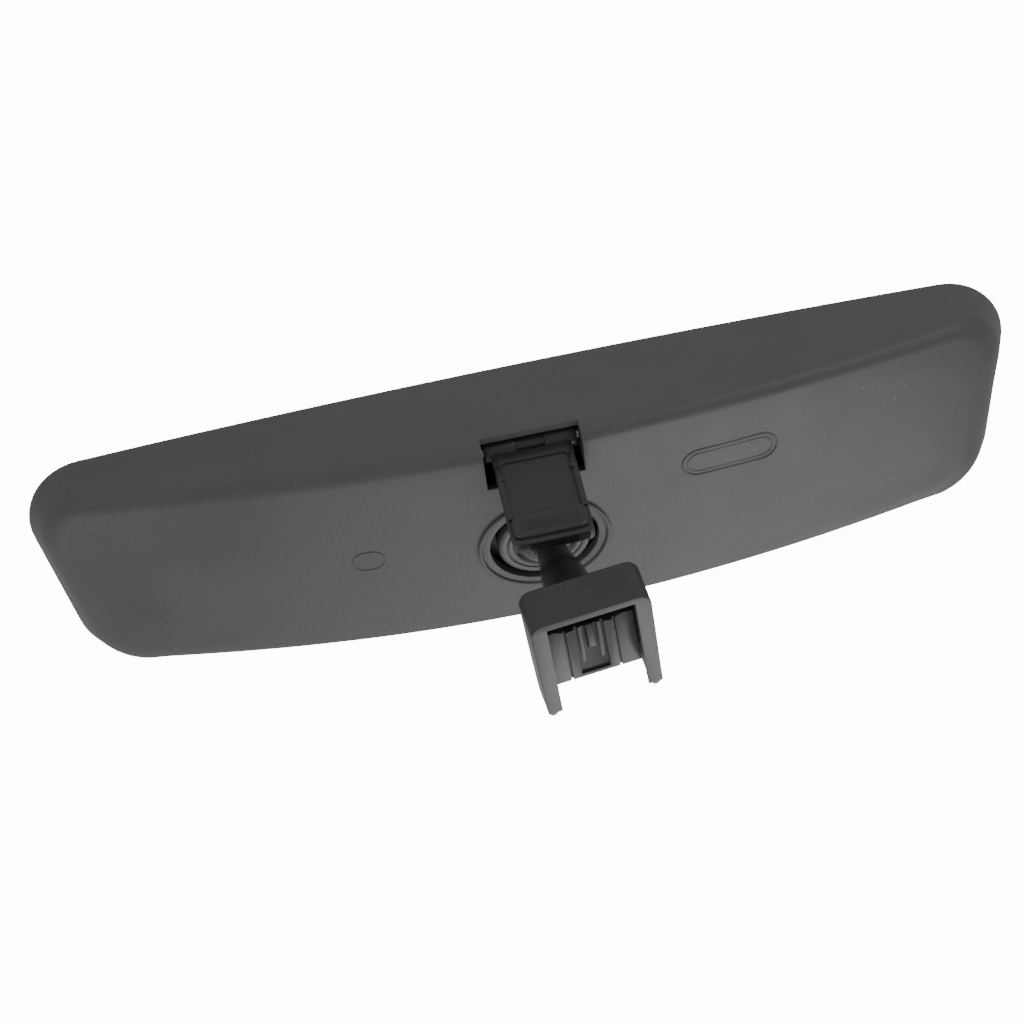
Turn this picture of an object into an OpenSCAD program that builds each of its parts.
// Interior rearview mirror: prismatic day/night head on a ball stem with a slide-on windscreen foot.
// Origin: centre of the foot's seat face. +Z up in the car, +Y towards the windscreen, +X along the head.

/* [Head outline] */
// Half width between the centres of the lower corner rounds
lower_corner_x = 109.1; // [95:0.1:115]
// Radius of the lower corner rounds
lower_corner_r = 15.9; // [13:0.1:24]
// Half width between the centres of the upper corner rounds
upper_corner_x = 101.8; // [90:0.1:104]
// Radius of the upper corner rounds
upper_corner_r = 17.3; // [12:0.1:18]
// Height of the lower edge at the middle, from the socket centre
low_edge_z = -39.7; // [-44:0.1:-38]
// Height of the upper edge at the middle, from the socket centre
top_edge_z = 28.2; // [27:0.1:32]

/* [Head depth] */
// Plane of the front rim, from the socket centre
rim_y = -22; // [-23:0.1:-20]
// Crease between the underside and the back, at the middle
crease_y = 12.3; // [11:0.1:13]
// How far the crease falls forward per square millimetre of width
crease_bow = 0.00133; // [0.001:0.00001:0.0014]
// Back edge along the top
top_back_y = -9.6; // [-11:0.1:-9]
// Slope of the back face at the socket
back_slope = 19.3; // [18:0.1:20]
// Wall thickness of the housing
wall = 2.3; // [2:0.1:2.6]

/* [Glass] */
// Thickness of the prism at its lower edge
glass_low = 2; // [1.8:0.1:2.4]
// Wedge angle of the prism
wedge_angle = 2.6; // [2.5:0.1:3.4]
// Thickness of the silvered safety film
film_t = 0.25; // [0.2:0.05:0.4]

/* [Ball joint] */
// Radius of the ball
ball_r = 8.5; // [8:0.1:8.6]
// Depth of the ball centre under the socket ring
ball_depth = 4.45; // [4:0.05:4.6]
// Running gap on both sides of the liners
liner_gap = 0.25; // [0.2:0.05:0.3]
// Thickness of the liners
liner_t = 0.7; // [0.6:0.05:0.8]
// Yaw of the foot against the head
pose_yaw = -5.3; // [-10:0.1:10]
// Pitch of the foot against the head
pose_pitch = 14; // [5:0.1:18]
// Roll of the foot against the head
pose_roll = 3.6; // [-8:0.1:8]

/* [Foot] */
// Width of the foot
foot_w = 30; // [28:0.5:32]
// Length of the foot along its rails
foot_l = 33; // [32:0.5:36]
// Thickness of the foot at its closed end
foot_t = 12; // [11:0.1:13]
// Gap between the rails, where the windscreen button slides
rail_gap = 23; // [22:0.5:24]
// Distance of the ball centre from the seat face
stem_reach = 54.7; // [50:0.1:58]
// Offset of the ball centre towards the rail tips
stem_rise = 12.1; // [9:0.1:14]

/* [Day and night lever] */
// Width of the lever blade
lever_w = 20; // [18:0.5:20]
// Length of the blade from the axle
lever_l = 32.6; // [28:0.1:34]
// Angle of the blade above the head's forward axis, in the day position
lever_angle = 17.9; // [15:0.1:18]
// Throw of the crank finger
crank_r = 4.2; // [4:0.1:4.3]

/* [Hidden] */

fine = 96;
hull_fn = 32;
eps = 0.05;

// Places in the head, as [y, z] across the middle plane
hinge_at = [-11, 14];
axle_at = [2.5, -31.5];
ball_at = -ball_depth * [cos(back_slope), sin(back_slope)];
hinge_r = 1;
axle_r = 1.5;
hub_r = 3.3;
jaw_gap = 0.15;
jaw_back = 3.5;
finger_r = 1.6;
finger_at = axle_at + crank_r * [cos(110), sin(110)];
slot_w = 24.5;
slot_low_y = 6.5;
slot_top_z = -23.4;
cheek_t = 2;
socket_hole_r = 13.9;
ring_r = 11.7;
opening_r = 7.8;
cavity_r = ball_r + 2 * liner_gap + liner_t;
lip_h = 3.6;
ring_low = 1.2;

// Outline and back surface of the head
lower_corner_z = -21.8;
upper_corner_z = 4.9;
top_bow = (top_edge_z - upper_corner_z - upper_corner_r) / pow(upper_corner_x, 2);
low_bow = (lower_corner_z - lower_corner_r - low_edge_z) / pow(lower_corner_x, 2);
crease_rise = 2.8;
top_drop = 1;
low_shoulder = 2.8;
low_shoulder_r = 6.5;
high_shoulder = 5.8;
high_shoulder_r = 5;
shoulder_sink = 0.6;
top_round = 2.5;
corner_step = [upper_corner_x - lower_corner_x, upper_corner_z - lower_corner_z];
corner_lean = atan2(corner_step.y, corner_step.x)
    - acos((lower_corner_r - upper_corner_r) / norm(corner_step));
function crease(x) = [x, crease_y - crease_bow * x * x, low_edge_z + crease_rise + 0.00025 * x * x];
function top_back(x) = [x, top_back_y, top_edge_z - top_drop - 0.0009 * x * x];
function back_y(x, z) = let (a = crease(x), b = top_back(x))
    a.y + (z - a.z) / (b.z - a.z) * (b.y - a.y);
function arc(c, r, a0, a1, n) = [for (i = [0 : n]) c + r * [cos(a0 + (a1 - a0) * i / n),
                                                             sin(a0 + (a1 - a0) * i / n)]];
function half_outline(inset) = concat(
    [for (i = [1 : 9]) let (x = lower_corner_x * i / 10)
        [x, low_edge_z + inset + low_bow * x * x]],
    arc([lower_corner_x, lower_corner_z], lower_corner_r - inset, -88, corner_lean, 14),
    arc([upper_corner_x, upper_corner_z], upper_corner_r - inset, corner_lean, 83, 10),
    [for (i = [9 : -1 : 0]) let (x = upper_corner_x * i / 10)
        [x, top_edge_z - inset - top_bow * x * x]]);
function flip(points) = [for (i = [len(points) - 1 : -1 : 0]) [-points[i].x, points[i].y]];
function outline(inset) = let (right = half_outline(inset))
    concat([[0, low_edge_z + inset]], right, [for (p = flip(right)) if (p.x < -eps) p]);

// Ball centre in the row frame, from the foot's own turns
function turn_x(a, v) = [v.x, v.y * cos(a) - v.z * sin(a), v.y * sin(a) + v.z * cos(a)];
function turn_y(a, v) = [v.x * cos(a) + v.z * sin(a), v.y, v.z * cos(a) - v.x * sin(a)];
function turn_z(a, v) = [v.x * cos(a) - v.y * sin(a), v.x * sin(a) + v.y * cos(a), v.z];
ball_centre = turn_z(pose_yaw, turn_x(pose_pitch, turn_y(pose_roll, [0, -stem_reach, stem_rise])));
head_at = ball_centre - [0, ball_at.x, ball_at.y];

// Stem, in the foot's frame
stem_root = [-foot_t, 2];
stem_line = stem_root - [-stem_reach, stem_rise];
stem_lean = atan2(stem_line.y, stem_line.x);
web_end = foot_l / 2 - 2;
web_start = -4.5;
tip_taper = 0.5;
tip_depth = foot_t - 3;
rail_tip_x = foot_w / 2 - 2;
rail_tip_r = 1.3;
lip_t = 3.2;
floor_y = -9.5;
web_y = -6.6;
recess = 0.8;

module in_foot() rotate([0, 0, pose_yaw]) rotate([pose_pitch, 0, 0]) rotate([0, pose_roll, 0])
    children();
module in_head() translate(head_at) children();
// Local +Z runs out of the socket, with the ball centre at the origin
module in_socket() in_head() translate([0, ball_at.x, ball_at.y]) rotate([back_slope - 90, 0, 0])
    children();
// Extrudes an outline drawn in X and Z from y0 towards +Y
module along_y(y0, depth) translate([0, y0 + depth, 0]) rotate([90, 0, 0]) linear_extrude(depth)
    children();
// Cylinder along X through a place given as [y, z]
module across(at, r, x0, x1) translate([x0, at.x, at.y]) rotate([0, 90, 0])
    cylinder(h = x1 - x0, r = r, $fn = fine);
// Plate drawn in Y and Z that runs from x0 to x1
module side_plate(x0, x1, points) translate([x0, 0, 0]) rotate([90, 0, 90])
    linear_extrude(x1 - x0) polygon(points);

// ---- foot

module foot_shell() color([0.15, 0.15, 0.16]) in_foot() difference() {
    hull() {
        for (s = [-1, 1]) {
            for (y = [-3, 3 - foot_t]) translate([s * (foot_w / 2 - 3), y, 3 - foot_l / 2])
                sphere(3, $fn = hull_fn);
            translate([s * (foot_w / 2 - 1 - tip_taper), 0, foot_l / 2 - 1]) rotate([90, 0, 0])
                cylinder(h = tip_depth, r = 1, $fn = hull_fn);
            translate([s * (foot_w / 2 - 1), 0, 3 - foot_l / 2]) rotate([90, 0, 0])
                cylinder(h = 3, r = 1, $fn = hull_fn);
        }
        translate([0, 0, 4.5 - foot_l / 2]) rotate([90, 0, 0])
            cylinder(h = foot_t, r = 2, $fn = hull_fn);
    }
    // channel for the windscreen button, undercut below the rail lips
    translate([-rail_gap / 2, floor_y, lip_t - foot_l / 2]) cube([rail_gap, -floor_y - 1.4, foot_l]);
    translate([0.6 - rail_gap / 2, -2, lip_t - foot_l / 2]) cube([rail_gap - 1.2, 3, foot_l]);
    // the floor ends short of the rail tips
    translate([-rail_gap / 2, -foot_t - 1, web_end]) cube([rail_gap, foot_t, foot_l]);
    // screw and stem spigot
    rotate([90, 0, 0]) translate([0, stem_root.y, 0]) cylinder(h = foot_t + 1, r = 3.1, $fn = fine);
}

module web_plate() color([0.13, 0.13, 0.14]) in_foot() difference() {
    // the end towards the closed wall is scalloped
    along_y(floor_y, web_y - floor_y) polygon(concat(
        [[-rail_gap / 2 + 0.2, web_end], [rail_gap / 2 - 0.2, web_end]],
        [for (i = [0 : 20]) let (x = (rail_gap / 2 - 0.2) * (1 - i / 10))
            [x, web_start + 1.5 * (1 - pow(x / (rail_gap / 2 - 0.2), 2)) + 0.35 * cos(x * 64)]]));
    for (s = [-1, 1]) translate([s * 6.2 - 0.25, web_y - 0.7, -20]) cube([0.5, 2, 40]);
    translate([-3.6, web_y - recess, -20]) cube([7.2, 2, web_end + 18.8]);
    // pocket over the screw head
    translate([0, floor_y - 1, stem_root.y]) rotate([-90, 0, 0]) cylinder(h = 2.75, r = 4.4, $fn = fine);
}

module button_spring() color([0.17, 0.17, 0.18]) in_foot() {
    // sprung finger that presses on the button, standing in the web's recess
    side_plate(-0.9, 0.9, [[web_y - recess, -3.8], [web_y - recess, 5.2], [web_y - 0.4, 5.2],
                           [web_y + 0.9, 3.4], [web_y + 0.9, 1], [web_y, -3.8]]);
    for (s = [-1, 1]) side_plate(s * 2.4 - 0.5, s * 2.4 + 0.5,
        [[web_y - recess, -3.8], [web_y - recess, 10], [web_y + 0.1, -3.8]]);
}

module rail_tips() color([0.3, 0.3, 0.31]) in_foot() for (s = [-1, 1])
    translate([s * rail_tip_x, -2.2, foot_l / 2]) {
        cylinder(h = rail_tip_r + 0.05, r = rail_tip_r, $fn = fine);
        translate([0, 0, rail_tip_r + 0.05]) sphere(rail_tip_r, $fn = fine);
    }

module ball_stem() color([0.09, 0.09, 0.1]) in_foot() difference() {
    union() {
        translate([0, -stem_reach, stem_rise]) {
            sphere(ball_r, $fn = fine);
            rotate([stem_lean - 90, 0, 0]) rotate_extrude($fn = fine) polygon([
                [0, 0], [3.9, 0], [3.9, 11], [4.1, 13], [4.5, 16], [5.4, 21.5], [6.2, 28],
                [7, 35], [8.2, 40], [9, 44], [9, 50], [0, 50]]);
        }
    }
    // the flared end is cut flat against the back of the foot
    translate([-20, -foot_t, -30]) cube([40, 40, 60]);
    translate([0, -foot_t + 0.1, stem_root.y]) rotate([90, 0, 0]) cylinder(h = 12, r = 1.7, $fn = fine);
}

module stem_screw() color([0.5, 0.5, 0.52]) in_foot() translate([0, floor_y, stem_root.y])
    rotate([90, 0, 0]) difference() {
        union() {
            translate([0, 0, -1.6]) cylinder(h = 1, r = 3.4, $fn = fine);
            translate([0, 0, -1.6]) cylinder(h = 13, r = 1.7, $fn = fine);
        }
        // hexagon recess
        translate([0, 0, -2]) cylinder(h = 1.6, r = 1.2, $fn = 6);
    }

module lock_washer() color([0.45, 0.45, 0.47]) in_foot() translate([0, floor_y, stem_root.y])
    rotate([-90, 0, 0]) difference() {
        cylinder(h = 0.6, r = 4, $fn = fine);
        translate([0, 0, -1]) cylinder(h = 3, r = 1.75, $fn = fine);
    }

// ---- ball joint

// Thin shell between two spheres, from one polar angle to another, measured from the socket's back
module liner(from, to) in_socket() rotate_extrude($fn = fine) polygon(concat(
    [for (i = [0 : 16]) let (a = from + (to - from) * i / 16)
        (ball_r + liner_gap) * [sin(a), -cos(a)]],
    [for (i = [16 : -1 : 0]) let (a = from + (to - from) * i / 16)
        (ball_r + liner_gap + liner_t) * [sin(a), -cos(a)]]));
module rear_liner() color([0.75, 0.75, 0.72]) liner(8, 32);
module front_liner() color([0.8, 0.8, 0.78]) liner(62, 104);

flange_top = -0.55;
flange_low = -2.35;
module carrier() color([0.2, 0.2, 0.21]) difference() {
    union() {
        in_socket() {
            sphere(cavity_r + 1.1, $fn = fine);
            translate([0, 0, flange_low]) cylinder(h = ring_low - flange_low, r = ring_r, $fn = fine);
            translate([0, 0, flange_low]) cylinder(h = flange_top - flange_low, r = 15.5, $fn = fine);
            translate([0, 0, -6]) cylinder(h = 4, r = 11, $fn = fine);
        }
        in_head() {
            // hinge lugs
            for (s = [-1, 1]) {
                across(hinge_at, 2.6, s > 0 ? 8 : -11, s > 0 ? 11 : -8);
                side_plate(s > 0 ? 8 : -11, s > 0 ? 11 : -8,
                    [[-13.4, 13], [-8.4, 14], [-7.2, 8.5], [-9.9, 6.4], [-13.2, 7]]);
            }
            // tongue that reaches down to the lever's crank, with an ear for the stop pad
            let (j = finger_r + jaw_gap)
            side_plate(-2.5, 2.5, [[-5, -8], [-2.6, -8], [-1.5, -20], [-0.7, -24.8],
                [jaw_back, -24.8], [jaw_back, -28.4], [finger_at.x + j, -28.4],
                [finger_at.x + j, -25.8], [finger_at.x - j, -25.8], [finger_at.x - j, -28.4],
                [-2.2, -28.4], [-2.6, -24], [-4.4, -20]]);
            side_plate(-10, -2.4, [[-4.2, -22], [-1.6, -22], [-1.6, -18], [-4.2, -18]]);
        }
    }
    in_socket() {
        sphere(cavity_r, $fn = fine);
        // room for the socket ring above its seat
        translate([0, 0, ring_low]) cylinder(h = 12, r = ring_r + 0.3, $fn = fine);
    }
    in_head() across(hinge_at, hinge_r + 0.05, -12, 12);
}

module socket_ring() color([0.24, 0.24, 0.25]) in_socket() difference() {
    union() {
        translate([0, 0, ring_low]) cylinder(h = ball_depth - ring_low - 0.3, r = ring_r, $fn = fine);
        translate([0, 0, ring_low]) cylinder(h = ball_depth - ring_low, r = ring_r - 1.6, $fn = fine);
    }
    intersection() {
        sphere(cavity_r, $fn = fine);
        translate([0, 0, -20]) cylinder(h = 20 + lip_h, r = 20, $fn = fine);
    }
    cylinder(h = 12, r = opening_r, $fn = fine);
}

module clamp_spring() color([0.6, 0.6, 0.62]) in_socket() translate([0, 0, -4.3]) rotate([0, 0, 110])
    rotate_extrude(angle = 320, $fn = fine) translate([11.8, 0]) circle(0.6, $fn = 24);

// ---- case

// Rounds of both shoulders at one end of the head, seated on the ruled back
module shoulders(s, inset) {
    for (a = [-60 : 20 : 20])
        let (q = lower_corner_r - low_shoulder - low_shoulder_r,
             x = lower_corner_x + q * cos(a),
             z = lower_corner_z + q * sin(a))
        translate([s * x, back_y(x, z) - low_shoulder_r - shoulder_sink, z])
            sphere(low_shoulder_r - inset, $fn = hull_fn);
    for (a = [20 : 20 : 80])
        let (q = upper_corner_r - high_shoulder - high_shoulder_r,
             x = upper_corner_x + q * cos(a),
             z = upper_corner_z + q * sin(a))
        translate([s * x, back_y(x, z) - high_shoulder_r - shoulder_sink, z])
            sphere(high_shoulder_r - inset, $fn = hull_fn);
}

// Solid inside the housing's outer skin, shrunk by inset; front_y is its front plane
module head_solid(inset, front_y) hull() {
    along_y(front_y, 1) polygon(outline(inset));
    for (i = [-10 : 10])
        let (x = lower_corner_x * i / 10,
             low_r = max(0.8, 3.5 + abs(i) * 0.3 - inset),
             top_r = max(0.6, top_round - inset)) {
            translate(crease(x) + [0, -low_r - inset, low_r + inset]) sphere(low_r, $fn = hull_fn);
            translate(top_back(0.92 * x) - [0, top_r + inset, top_r + inset])
                sphere(top_r, $fn = 16);
        }
    for (s = [-1, 1]) shoulders(s, inset);
}

glass_front = rim_y + 0.9;
function film_back(z) = glass_front + glass_low + (z - low_edge_z) * tan(wedge_angle) + film_t;

glass_inset = wall + 3.2;
lip_inset = wall + 4.3;
pad_places = [[60, -20], [60, 8], [98, -14]];
pad_t = 1.5;
spring_at = [8.5, -1.65, -20];
leaf_t = 0.35;
stop_at = [-7, 1.3, -20];
stop_t = 1.2;
// Everything behind the prism's back plane, moved back by shift
module behind_prism(shift) translate([0, glass_front + glass_low + shift, low_edge_z])
    rotate([-wedge_angle, 0, 0]) translate([-150, 0, -20]) cube([300, 40, 120]);

// Seat of the glass and its film in the housing, with clearance all round
module glass_room() difference() {
    along_y(glass_front, 9) polygon(outline(glass_inset - 0.3));
    behind_prism(film_t + 0.3);
}

module housing() color([0.27, 0.27, 0.28]) in_head() difference() {
    union() {
        difference() {
            head_solid(0, rim_y);
            head_solid(wall, glass_front);
            along_y(rim_y - 1, 3) polygon(outline(lip_inset));
            glass_room();
        }
        // cheeks beside the lever slot carry the axle
        for (s = [-1, 1]) let (x0 = s > 0 ? slot_w / 2 : -slot_w / 2 - cheek_t)
            side_plate(x0, x0 + cheek_t,
                [[-4, -36.8], [-4, -27], [3, -21], [6, -21.5], [10.4, -34.4], [8.6, -36.2]]);
        // lugs for the hinge pin
        for (s = [-1, 1]) let (x0 = s > 0 ? 11.6 : -14.6) {
            across(hinge_at, 2.6, x0, x0 + 3);
            side_plate(x0, x0 + 3, [[-13.2, 13], [-13.2, 15.4], [-6.9, 17], [-4.6, 9.4]]);
        }
        // posts behind the glass pads
        for (s = [-1, 1]) for (p = pad_places)
            translate([s * p.x, film_back(p.y) + pad_t, p.y]) rotate([-90, 0, 0])
                cylinder(h = back_y(p.x, p.y) - 1.3 - film_back(p.y) - pad_t, r = 3, $fn = fine);
        // bosses for the detent spring and the stop pad
        translate(spring_at + [0, 0.4, 0]) rotate([-90, 0, 0]) cylinder(h = 6.2, r = 2.2, $fn = fine);
        translate(stop_at + [0, stop_t, 0]) rotate([-90, 0, 0]) cylinder(h = 3, r = 2.4, $fn = fine);
        // raised bead round the socket hole
        rotate([back_slope - 90, 0, 0]) rotate_extrude($fn = fine) translate([16.4, -0.1])
            circle(0.5, $fn = 24);
    }
    rotate([back_slope - 90, 0, 0]) translate([0, 0, -6]) cylinder(h = 12, r = socket_hole_r, $fn = fine);
    translate([-slot_w / 2, slot_low_y, low_edge_z - 5])
        cube([slot_w, 20, slot_top_z - low_edge_z + 5]);
    across(hinge_at, hinge_r + 0.02, -16, 16);
    across(axle_at, axle_r + 0.02, -16, 16);
    translate(spring_at) rotate([-90, 0, 0]) cylinder(h = 5, r = 0.9, $fn = fine);
}

module prism_glass() color([0.6, 0.75, 0.75, 0.5]) in_head() difference() {
    along_y(glass_front, 9) polygon(outline(glass_inset));
    behind_prism(0);
}

module mirror_film() color([0.8, 0.82, 0.84]) in_head() difference() {
    intersection() {
        along_y(glass_front, 9) polygon(outline(glass_inset + 0.3));
        behind_prism(0);
    }
    behind_prism(film_t);
}

module glass_pads() color([0.1, 0.1, 0.1]) in_head() for (s = [-1, 1]) for (p = pad_places)
    translate([s * p.x, film_back(p.y) + 0.2, p.y]) rotate([-90, 0, 0])
        cylinder(h = pad_t - 0.2, r = 4, $fn = fine);

module hinge_pin() color([0.6, 0.6, 0.62]) in_head() across(hinge_at, hinge_r, -15.6, 15.6);

module lever_axle() color([0.6, 0.6, 0.62]) in_head()
    across(axle_at, axle_r, -slot_w / 2 - cheek_t - 0.4, slot_w / 2 + cheek_t + 0.4);

module stop_pad() color([0.08, 0.08, 0.08]) in_head()
    translate(stop_at) rotate([-90, 0, 0]) cylinder(h = stop_t, r = 2.2, $fn = fine);

module detent_spring() color([0.6, 0.6, 0.63]) in_head() difference() {
    union() {
        translate([5.5, spring_at.y, -34]) cube([5.5, leaf_t, 16.5]);
        translate(spring_at) rotate([-90, 0, 0]) translate([3, 0, 0])
            cylinder(h = leaf_t, r = 2.2, $fn = fine);
    }
    translate(spring_at - [0, 2, 0]) rotate([-90, 0, 0]) cylinder(h = 5, r = 1, $fn = fine);
}

module spring_screw() color([0.5, 0.5, 0.52]) in_head() translate(spring_at) {
    rotate([90, 0, 0]) cylinder(h = 1.1, r = 1.7, $fn = fine);
    rotate([-90, 0, 0]) cylinder(h = 4.4, r = 0.9, $fn = fine);
}

// ---- lever

blade_t = 2.6;
module lever() color([0.12, 0.12, 0.13]) in_head() difference() {
    union() {
        across(axle_at, hub_r, -11.6, -3.6);
        across(axle_at, hub_r, 3.6, 11.6);
        across(axle_at, 2.6, -3.7, 3.7);
        // crank finger
        across(finger_at, finger_r, -2.3, 2.3);
        translate([-2.3, axle_at.x, axle_at.y]) rotate([20, 0, 0]) translate([0, -1.2, 0])
            cube([4.6, 2.4, crank_r]);
        // blade with rounded tip corners, side ribs and grip pad
        translate([0, axle_at.x, axle_at.y]) rotate([lever_angle, 0, 0]) {
            translate([0, 0, -blade_t / 2]) linear_extrude(blade_t) polygon(concat(
                [[-lever_w / 2, 1.5], [-3.6, 1.5], [-3.6, 3.2], [3.6, 3.2], [3.6, 1.5], [lever_w / 2, 1.5]],
                arc([lever_w / 2 - 4, lever_l - 4], 4, 0, 90, 8),
                arc([4 - lever_w / 2, lever_l - 4], 4, 90, 180, 8)));
            for (s = [-1, 1]) translate([s * (lever_w / 2 - 0.8) - 0.8, 8, -blade_t / 2 - 0.8])
                cube([1.6, 16, 1]);
            translate([0, 0, -blade_t / 2 - 1.6]) linear_extrude(1.7) polygon(concat(
                arc([6, 27.6], 3, -90, 90, 10), arc([-6, 27.6], 3, 90, 270, 10)));
        }
    }
    across(axle_at, axle_r + 0.06, -14, 14);
    // detent flats that the leaf spring bears on
    for (a = [180, 220]) translate([7, axle_at.x, axle_at.y]) rotate([a - 180, 0, 0])
        translate([-2, -hub_r - 1.8, -1]) cube([4, 2, 2]);
}

foot_shell();
web_plate();
button_spring();
rail_tips();
ball_stem();
stem_screw();
lock_washer();
rear_liner();
front_liner();
carrier();
socket_ring();
clamp_spring();
housing();
prism_glass();
mirror_film();
glass_pads();
hinge_pin();
lever_axle();
stop_pad();
detent_spring();
spring_screw();
lever();
